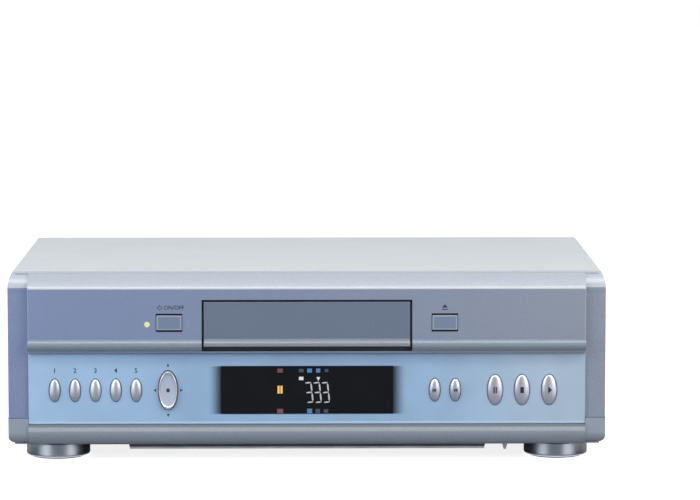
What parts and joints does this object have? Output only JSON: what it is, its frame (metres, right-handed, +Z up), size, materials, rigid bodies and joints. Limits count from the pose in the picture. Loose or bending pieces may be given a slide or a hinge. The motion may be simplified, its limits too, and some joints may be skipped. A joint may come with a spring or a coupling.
{
  "type": "dvd player",
  "caption": "Full-width disc player with a motor-driven front tray, oval keys on a pale blue control panel, a dark display window and rear phono jacks.",
  "frame": {"origin": "middle of the bounding box, on the surface under the rubber feet", "axes": "+X to the player's right seen from the front, +Y to the back, +Z up"},
  "size_m": [0.43, 0.2705, 0.1365],
  "materials": {
    "cover_paint": "satin silver paint",
    "panel_paint": "satin blue-grey metallic paint",
    "fascia_paint": "satin blue-grey metallic paint",
    "blue_acrylic": "polished pale blue acrylic",
    "window_black": "polished dark acrylic",
    "tube_glass": "clear glass",
    "lamp_green": "clear tinted light guide",
    "key_plastic": "satin metallic plastic",
    "foot_plating": "bright plated plastic",
    "black_plastic": "matt black plastic",
    "dark_plastic": "fine matt dark grey plastic",
    "white_plastic": "plain white plastic",
    "green_plastic": "coloured jack plastic",
    "yellow_plastic": "coloured jack plastic",
    "rubber": "black rubber",
    "zinc_sheet": "zinc-plated sheet steel",
    "bright_steel": "ground steel",
    "plated_metal": "bright nickel plating",
    "green_board": "green circuit board",
    "tan_board": "tan circuit board"
  },
  "bodies": {
    "cabinet": {"chassis_pan": "zinc_sheet", "rear_panel": "zinc_sheet", "top_cover": "cover_paint", "front_panel": "panel_paint", "control_panel": "blue_acrylic", "display_window": "window_black", "display_tube": "tube_glass", "standby_lens": "lamp_green", "front_board": "green_board", "key_switches": "black_plastic", "front_feet": "foot_plating", "rear_feet": "black_plastic", "foot_pads": "rubber", "case_screws": "bright_steel", "main_board": "green_board", "board_chips": "black_plastic", "power_board": "tan_board", "power_parts": "dark_plastic", "jack_barrels": "plated_metal", "av_jack_block": "yellow_plastic", "component_jack_block": "green_plastic", "coax_svideo_block": "black_plastic", "ac_inlet": "black_plastic", "loader_frame": "dark_plastic", "loader_stands": "zinc_sheet", "loader_dampers": "rubber", "clamp_bridge": "zinc_sheet", "loading_motor": "bright_steel", "drive_belt": "rubber", "ribbon_cable": "white_plastic"},
    "tray": {"disc_tray": "dark_plastic", "tray_fascia": "fascia_paint"},
    "tray_gear": {"tray_gear": "white_plastic"},
    "pulley_gear": {"pulley_gear": "white_plastic"},
    "motor_pulley": {"motor_pulley": "white_plastic"},
    "cam_slide": {"cam_slide": "white_plastic"},
    "deck": {"traverse_deck": "zinc_sheet", "guide_rods": "bright_steel", "spindle_motor": "bright_steel", "sled_motor": "bright_steel"},
    "turntable": {"turntable": "black_plastic"},
    "pickup": {"pickup": "dark_plastic"},
    "lead_screw": {"lead_screw": "bright_steel"},
    "clamp_puck": {"clamp_puck": "dark_plastic"},
    "nav_gimbal": {"nav_gimbal": "white_plastic"},
    "nav_stem": {"nav_stem": "white_plastic"},
    "nav_pad": {"nav_pad": "key_plastic"},
    "power_key": {"power_key": "panel_paint"},
    "open_key": {"open_key": "panel_paint"},
    "function_key_1": {"function_key_1": "key_plastic"},
    "function_key_2": {"function_key_2": "key_plastic"},
    "function_key_3": {"function_key_3": "key_plastic"},
    "function_key_4": {"function_key_4": "key_plastic"},
    "function_key_5": {"function_key_5": "key_plastic"},
    "skip_back_key": {"skip_back_key": "key_plastic"},
    "skip_next_key": {"skip_next_key": "key_plastic"},
    "pause_key": {"pause_key": "key_plastic"},
    "stop_key": {"stop_key": "key_plastic"},
    "play_key": {"play_key": "key_plastic"}
  },
  "joints": [
    {"name": "tray_slide", "type": "slide", "parent": "cabinet", "child": "tray", "axis": [0, -1, 0], "range_m": [0, 0.14]},
    {"name": "tray_gear_spin", "type": "hinge", "parent": "cabinet", "child": "tray_gear", "pos_m": [-0.042, -0.09325, 0.084], "axis": [0, 0, 1], "range_deg": [0, 447]},
    {"name": "pulley_gear_spin", "type": "hinge", "parent": "cabinet", "child": "pulley_gear", "pos_m": [-0.017, -0.09325, 0.084], "axis": [0, 0, 1], "range_deg": [-1147, 0]},
    {"name": "motor_pulley_spin", "type": "hinge", "parent": "cabinet", "child": "motor_pulley", "pos_m": [0.022, -0.09325, 0.084], "axis": [0, 0, 1], "range_deg": [-4656, 0]},
    {"name": "deck_lift", "type": "hinge", "parent": "cabinet", "child": "deck", "pos_m": [0, 0.05375, 0.079], "axis": [-1, 0, 0], "range_deg": [0, 5.2]},
    {"name": "cam_travel", "type": "slide", "parent": "cabinet", "child": "cam_slide", "axis": [1, 0, 0], "range_m": [0, 0.0241]},
    {"name": "turntable_spin", "type": "hinge", "parent": "deck", "child": "turntable", "pos_m": [0, -0.05634, 0.08605], "axis": [0, -0.0906, 0.9959], "continuous": true},
    {"name": "clamp_spin", "type": "hinge", "parent": "cabinet", "child": "clamp_puck", "pos_m": [0, -0.05525, 0.098], "axis": [0, 0, 1], "continuous": true},
    {"name": "sled_slide", "type": "slide", "parent": "deck", "child": "pickup", "axis": [0, 0.9959, 0.0906], "range_m": [0, 0.033]},
    {"name": "lead_screw_spin", "type": "hinge", "parent": "deck", "child": "lead_screw", "pos_m": [0.034, -0.01534, 0.07683], "axis": [0, 0.9959, 0.0906], "range_deg": [0, 3961]},
    {"name": "nav_tilt_up_down", "type": "hinge", "parent": "cabinet", "child": "nav_gimbal", "pos_m": [-0.1, -0.11865, 0.0514], "axis": [1, 0, 0], "range_deg": [-2, 2], "stiffness_Nm_per_rad": 0.15},
    {"name": "nav_tilt_left_right", "type": "hinge", "parent": "nav_gimbal", "child": "nav_stem", "pos_m": [-0.1, -0.11865, 0.0514], "axis": [0, 0, 1], "range_deg": [-2, 2], "stiffness_Nm_per_rad": 0.15},
    {"name": "nav_press", "type": "slide", "parent": "nav_stem", "child": "nav_pad", "axis": [0, 1, 0], "range_m": [0, 0.0006], "stiffness_N_per_m": 250, "springref_m": -0.0004},
    {"name": "power_key_press", "type": "slide", "parent": "cabinet", "child": "power_key", "axis": [0, 1, 0], "range_m": [0, 0.0009], "stiffness_N_per_m": 250, "springref_m": -0.0004},
    {"name": "open_key_press", "type": "slide", "parent": "cabinet", "child": "open_key", "axis": [0, 1, 0], "range_m": [0, 0.0009], "stiffness_N_per_m": 250, "springref_m": -0.0004},
    {"name": "function_key_1_press", "type": "slide", "parent": "cabinet", "child": "function_key_1", "axis": [0, 1, 0], "range_m": [0, 0.0009], "stiffness_N_per_m": 250, "springref_m": -0.0004},
    {"name": "function_key_2_press", "type": "slide", "parent": "cabinet", "child": "function_key_2", "axis": [0, 1, 0], "range_m": [0, 0.0009], "stiffness_N_per_m": 250, "springref_m": -0.0004},
    {"name": "function_key_3_press", "type": "slide", "parent": "cabinet", "child": "function_key_3", "axis": [0, 1, 0], "range_m": [0, 0.0009], "stiffness_N_per_m": 250, "springref_m": -0.0004},
    {"name": "function_key_4_press", "type": "slide", "parent": "cabinet", "child": "function_key_4", "axis": [0, 1, 0], "range_m": [0, 0.0009], "stiffness_N_per_m": 250, "springref_m": -0.0004},
    {"name": "function_key_5_press", "type": "slide", "parent": "cabinet", "child": "function_key_5", "axis": [0, 1, 0], "range_m": [0, 0.0009], "stiffness_N_per_m": 250, "springref_m": -0.0004},
    {"name": "skip_back_key_press", "type": "slide", "parent": "cabinet", "child": "skip_back_key", "axis": [0, 1, 0], "range_m": [0, 0.0009], "stiffness_N_per_m": 250, "springref_m": -0.0004},
    {"name": "skip_next_key_press", "type": "slide", "parent": "cabinet", "child": "skip_next_key", "axis": [0, 1, 0], "range_m": [0, 0.0009], "stiffness_N_per_m": 250, "springref_m": -0.0004},
    {"name": "pause_key_press", "type": "slide", "parent": "cabinet", "child": "pause_key", "axis": [0, 1, 0], "range_m": [0, 0.0009], "stiffness_N_per_m": 250, "springref_m": -0.0004},
    {"name": "stop_key_press", "type": "slide", "parent": "cabinet", "child": "stop_key", "axis": [0, 1, 0], "range_m": [0, 0.0009], "stiffness_N_per_m": 250, "springref_m": -0.0004},
    {"name": "play_key_press", "type": "slide", "parent": "cabinet", "child": "play_key", "axis": [0, 1, 0], "range_m": [0, 0.0009], "stiffness_N_per_m": 250, "springref_m": -0.0004}
  ],
  "couplings": [
    {"joint": "tray_gear_spin", "follows": "tray_slide", "rad_per_m": 55.556},
    {"joint": "pulley_gear_spin", "follows": "tray_slide", "rad_per_m": -142.86},
    {"joint": "motor_pulley_spin", "follows": "tray_slide", "rad_per_m": -580.36},
    {"joint": "cam_travel", "follows": "deck_lift", "m_per_rad": 0.26444},
    {"joint": "clamp_spin", "follows": "turntable_spin", "ratio": 1},
    {"joint": "lead_screw_spin", "follows": "sled_slide", "rad_per_m": 2094.4}
  ]
}
